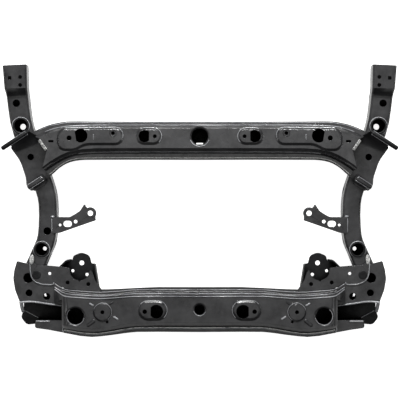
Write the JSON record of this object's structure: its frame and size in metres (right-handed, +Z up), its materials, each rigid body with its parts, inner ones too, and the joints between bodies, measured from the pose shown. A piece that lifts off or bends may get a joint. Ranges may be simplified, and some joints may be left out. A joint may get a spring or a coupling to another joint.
{
  "type": "rear suspension subframe",
  "caption": "Welded pressed-steel suspension subframe: two crossmembers across curved side rails, with body-mount collars, arm and link pockets and differential brackets.",
  "frame": {"origin": "middle of the underside of the whole part", "axes": "+X to the part's right across the vehicle, +Y to the vehicle's front along the rails, +Z up to the vehicle body"},
  "size_m": [1.038, 0.7186, 0.1105],
  "materials": {
    "coated_steel": "satin black electro-dip coat"
  },
  "bodies": {
    "root": {"front_beam_upper": "coated_steel", "front_beam_lower": "coated_steel", "rear_beam_upper": "coated_steel", "rear_beam_lower": "coated_steel", "left_rail_upper": "coated_steel", "right_rail_upper": "coated_steel", "left_rail_lower": "coated_steel", "right_rail_lower": "coated_steel", "left_front_collar": "coated_steel", "right_front_collar": "coated_steel", "left_rear_collar": "coated_steel", "right_rear_collar": "coated_steel", "left_arm_plate_outer": "coated_steel", "right_arm_plate_outer": "coated_steel", "left_arm_plate_inner": "coated_steel", "right_arm_plate_inner": "coated_steel", "left_corner_plate": "coated_steel", "right_corner_plate": "coated_steel", "left_gusset": "coated_steel", "right_gusset": "coated_steel", "left_link_bracket": "coated_steel", "right_link_bracket": "coated_steel", "left_diff_bracket": "coated_steel", "right_diff_bracket": "coated_steel", "left_rear_ear": "coated_steel", "right_rear_ear": "coated_steel", "link_bolt_nuts": "coated_steel"}
  },
  "joints": []
}
